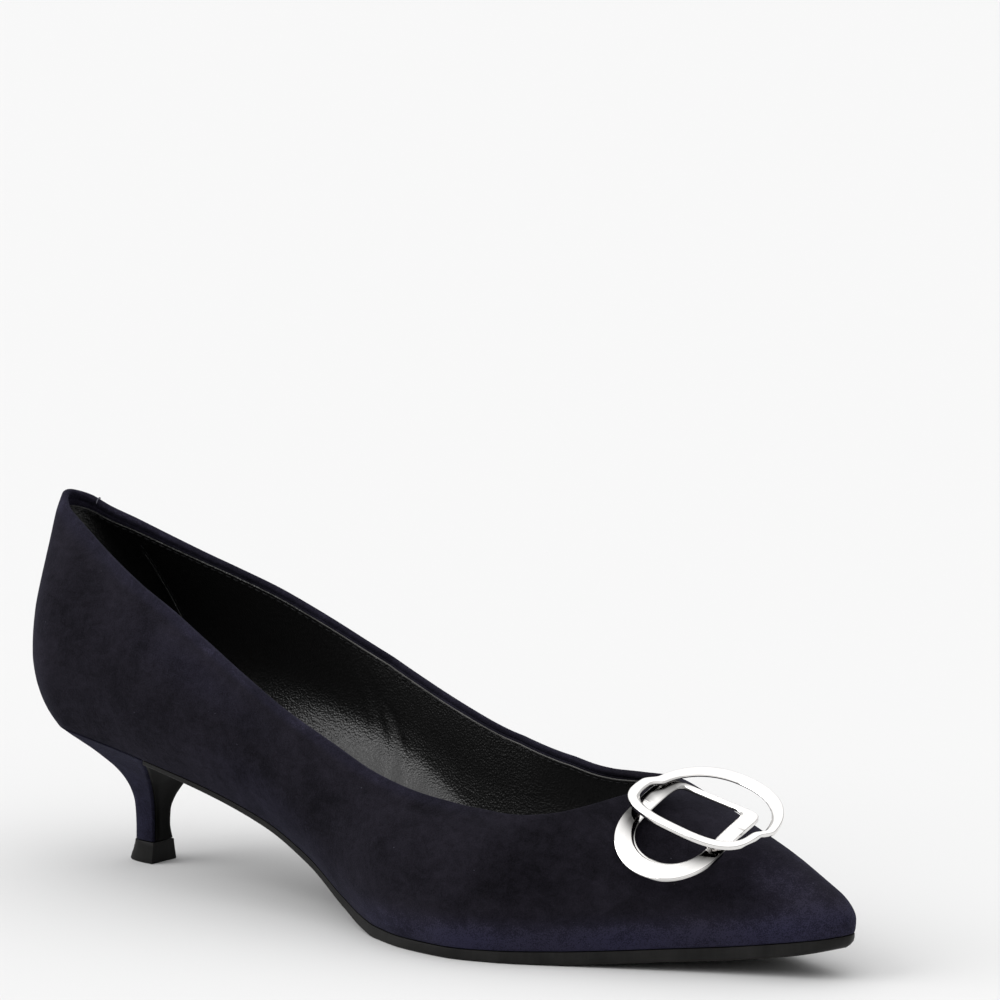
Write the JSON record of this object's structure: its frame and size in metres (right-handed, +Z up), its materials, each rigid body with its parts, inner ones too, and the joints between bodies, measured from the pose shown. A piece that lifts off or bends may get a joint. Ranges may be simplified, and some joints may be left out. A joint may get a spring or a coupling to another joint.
{
  "type": "kitten heel pump",
  "caption": "Pointed court shoe in napped leather on a slim covered kitten heel, with polished ring trim on the vamp, thin sole and lined collar.",
  "frame": {"origin": "on the floor under the middle of the shoe's box", "axes": "+X to the toe, +Z up, -Y to the outer side of the foot"},
  "size_m": [0.2474, 0.0772, 0.0952],
  "materials": {
    "suede": "napped navy suede",
    "lining": "grained, half gloss black",
    "sole": "matt black",
    "heel_suede": "napped navy suede over a hard heel",
    "breast": "smooth black",
    "lift": "satin black",
    "metal": "mirror polished"
  },
  "bodies": {
    "root": {"upper": "suede", "insole": "lining", "outsole": "sole", "heel": "heel_suede", "breast_cover": "breast", "top_lift": "lift", "ornament_lower_ring": "metal", "ornament_upper_ring": "metal"}
  },
  "joints": []
}
